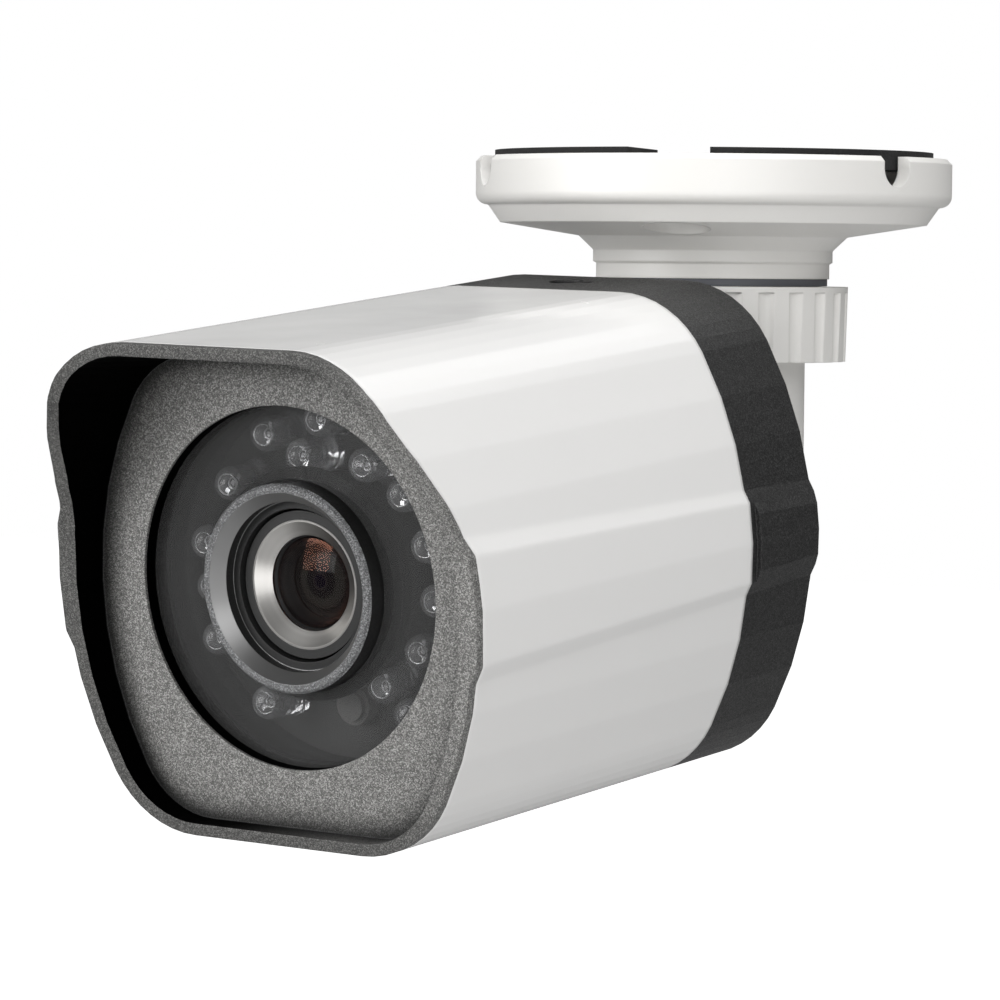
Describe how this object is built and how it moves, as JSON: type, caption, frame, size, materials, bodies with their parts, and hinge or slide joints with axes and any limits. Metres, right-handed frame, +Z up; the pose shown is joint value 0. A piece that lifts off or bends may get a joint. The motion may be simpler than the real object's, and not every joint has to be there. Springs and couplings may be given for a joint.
{
  "type": "security camera",
  "caption": "Bullet security camera with a swept hood, a smoked window over infrared lamps and a three-axis ceiling bracket.",
  "frame": {"origin": "centre of the base's screw circle, in the plane of its rim, which meets the ceiling once the screws have squeezed the foam pad", "axes": "+Z up into the ceiling, -Y the heading of the lens at rest, +X to the camera's left as seen from in front of it"},
  "size_m": [0.0766, 0.1672, 0.1006],
  "materials": {
    "white_bracket": "satin off-white moulding",
    "white_shell": "gloss white",
    "grey_fleck": "dark grey with fine metallic fleck",
    "black_plastic": "matte black",
    "black_foam": "foam",
    "black_rubber": "matte",
    "grey_rubber": "matte",
    "smoked_window": "smoked, polished",
    "clear_lamp": "clear epoxy",
    "lens_glass": "coated glass",
    "bright_metal": "satin",
    "sensor_cell": "matte",
    "steel": "zinc plated",
    "brass": "plain",
    "nylon": "plain",
    "aluminium": "plain",
    "copper": "wound wire",
    "circuit_board": "solder mask"
  },
  "bodies": {
    "base": {"base_plate": "white_bracket", "base_pad": "black_foam", "collar_seal": "grey_rubber"},
    "pan_ring": {"pan_lock_ring": "white_bracket"},
    "arm": {"swivel_arm": "white_bracket", "tilt_screw": "steel", "tilt_nut": "steel", "tilt_washers": "nylon"},
    "knuckle": {"tilt_knuckle": "white_bracket"},
    "roll_ring": {"roll_lock_ring": "white_bracket"},
    "camera": {"rear_cover": "grey_fleck", "cover_seal": "black_rubber", "tie_screws": "steel", "sunshield_screw": "steel", "cable_grommet": "black_rubber", "main_shell": "white_shell", "front_bezel": "grey_fleck", "window": "smoked_window", "window_gasket": "black_foam", "lamp_housing": "black_plastic", "lens_tube": "black_plastic", "tube_seal": "black_rubber", "lamp_board": "circuit_board", "ir_lamps": "clear_lamp", "light_sensor": "sensor_cell", "chassis_plate": "aluminium", "chassis_spacers": "brass", "lens_barrel": "black_plastic", "lens_front_ring": "bright_metal", "front_lens": "lens_glass", "rear_lens": "lens_glass", "lens_holder": "black_plastic", "filter_coil": "copper", "sensor_board": "circuit_board", "image_sensor": "sensor_cell", "board_spacers": "brass", "main_board": "circuit_board", "processor": "black_plastic", "network_socket": "steel", "board_screws": "steel"},
    "filter": {"filter_slide": "black_plastic", "cut_filter": "lens_glass"}
  },
  "joints": [
    {"name": "pan", "type": "hinge", "parent": "base", "child": "arm", "pos_m": [0, 0, 0], "axis": [0, 0, 1], "range_deg": [-180, 180]},
    {"name": "pan_lock_turn", "type": "hinge", "parent": "base", "child": "pan_ring", "pos_m": [0, 0, -0.026], "axis": [0, 0, -1], "range_deg": [0, 150]},
    {"name": "tilt", "type": "hinge", "parent": "arm", "child": "knuckle", "pos_m": [0, 0, -0.0525], "axis": [1, 0, 0], "range_deg": [-11, 84]},
    {"name": "roll", "type": "hinge", "parent": "knuckle", "child": "camera", "pos_m": [0, 0, -0.0525], "axis": [0, 0.9954, 0.0958], "range_deg": [-180, 180]},
    {"name": "roll_lock_turn", "type": "hinge", "parent": "camera", "child": "roll_ring", "pos_m": [0, 0, -0.0525], "axis": [0, 0.9954, 0.0958], "range_deg": [0, 150]},
    {"name": "ir_filter_slide", "type": "slide", "parent": "camera", "child": "filter", "axis": [0.9998, 0.0021, -0.0217], "range_m": [0, 0.0068]}
  ]
}
